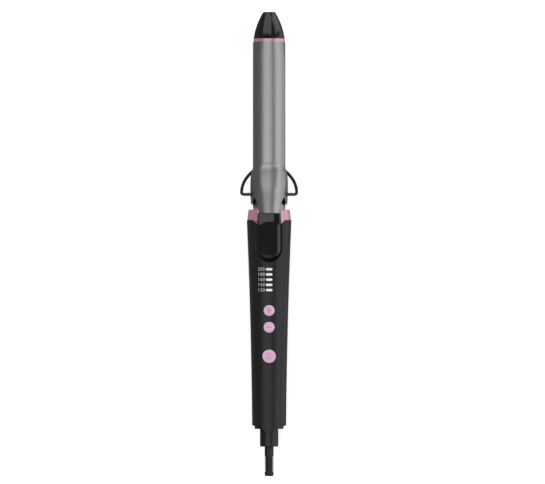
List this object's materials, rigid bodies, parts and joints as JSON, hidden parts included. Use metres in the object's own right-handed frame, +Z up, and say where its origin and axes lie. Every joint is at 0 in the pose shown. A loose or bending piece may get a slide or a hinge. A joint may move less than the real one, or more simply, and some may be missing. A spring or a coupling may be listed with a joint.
{
  "type": "curling iron",
  "caption": "Hair curling iron with a heated round barrel, sprung clamp with thumb lever, folding wire stand, push buttons and a swivel cord exit.",
  "frame": {"origin": "under the middle of the iron, on the surface that its flat back lies on", "axes": "+Y from the handle to the tip, +Z up through the buttons and the thumb lever, +X to the right"},
  "size_m": [0.0448, 0.3574, 0.0403],
  "materials": {
    "tip_plastic": "glossy black",
    "pink_plastic": "satin pink",
    "phenolic": "dark moulded phenolic",
    "steel": "plain",
    "barrel_coating": "grey ceramic coating, satin metallic",
    "heater_ceramic": "matt",
    "film": "amber film",
    "aluminium": "extruded",
    "glass_bead": "dipped bead",
    "tinned": "tinned",
    "lead_sleeve": "white silicone",
    "black_steel": "black",
    "spring_steel": "drawn wire",
    "black_wire": "black satin coating",
    "handle_plastic": "satin black",
    "lever_plastic": "high gloss black",
    "cap_plastic": "black",
    "light_diffuser": "milky white",
    "lamp_lens": "dark tinted",
    "board": "green resist",
    "switch_plastic": "black",
    "chip_plastic": "black",
    "capacitor_case": "yellow box",
    "brass": "plain",
    "boot_rubber": "moulded black"
  },
  "bodies": {
    "handle": {"cool_tip": "tip_plastic", "tip_ring": "pink_plastic", "tip_core": "phenolic", "tip_screw": "steel", "barrel_tube": "barrel_coating", "neck_ring": "pink_plastic", "ptc_heater": "heater_ceramic", "heater_film": "film", "upper_heat_spreader": "aluminium", "lower_heat_spreader": "aluminium", "thermistor": "glass_bead", "thermal_fuse": "tinned", "heater_leads": "lead_sleeve", "barrel_socket": "phenolic", "hinge_bracket": "black_steel", "bracket_rivets": "steel", "left_hinge_rivet": "black_steel", "right_hinge_rivet": "black_steel", "clamp_spring": "spring_steel", "collar": "pink_plastic", "front_shell": "handle_plastic", "rear_shell": "handle_plastic", "shell_screws": "black_steel", "end_cap": "cap_plastic", "bar_light_pipes": "light_diffuser", "pilot_lens": "lamp_lens", "control_board": "board", "tact_switches": "switch_plastic", "indicator_leds": "light_diffuser", "control_chip": "chip_plastic", "dropper_capacitor": "capacitor_case", "triac": "chip_plastic", "contact_springs": "brass"},
    "clamp": {"clamp_jaw": "barrel_coating", "thumb_lever": "lever_plastic", "lever_screw": "steel"},
    "stand": {"wire_stand": "black_wire"},
    "plus": {"plus_button": "pink_plastic", "plus_plunger": "switch_plastic"},
    "minus": {"minus_button": "pink_plastic", "minus_plunger": "switch_plastic"},
    "power": {"power_button": "pink_plastic", "power_plunger": "switch_plastic"},
    "swivel": {"swivel_body": "cap_plastic", "slip_rings": "brass", "strain_relief": "boot_rubber"}
  },
  "joints": [
    {"name": "clamp_hinge", "type": "hinge", "parent": "handle", "child": "clamp", "pos_m": [0, 0.03825, 0.021], "axis": [1, 0, 0], "range_deg": [0, 10.5], "stiffness_Nm_per_rad": 0.35, "springref_deg": -17.19, "deforming": ["clamp_spring"]},
    {"name": "stand_hinge", "type": "hinge", "parent": "handle", "child": "stand", "pos_m": [0, 0.03825, 0.021], "axis": [-1, 0, 0], "range_deg": [0, 65]},
    {"name": "plus_press", "type": "slide", "parent": "handle", "child": "plus", "axis": [0, 0, -1], "range_m": [0, 0.0007], "stiffness_N_per_m": 900, "springref_m": -0.0012},
    {"name": "minus_press", "type": "slide", "parent": "handle", "child": "minus", "axis": [0, 0, -1], "range_m": [0, 0.0007], "stiffness_N_per_m": 900, "springref_m": -0.0012},
    {"name": "power_press", "type": "slide", "parent": "handle", "child": "power", "axis": [0, 0, -1], "range_m": [0, 0.0007], "stiffness_N_per_m": 900, "springref_m": -0.0012},
    {"name": "cord_swivel", "type": "hinge", "parent": "handle", "child": "swivel", "pos_m": [0, -0.15595, 0.0155], "axis": [0, 1, 0], "continuous": true}
  ]
}
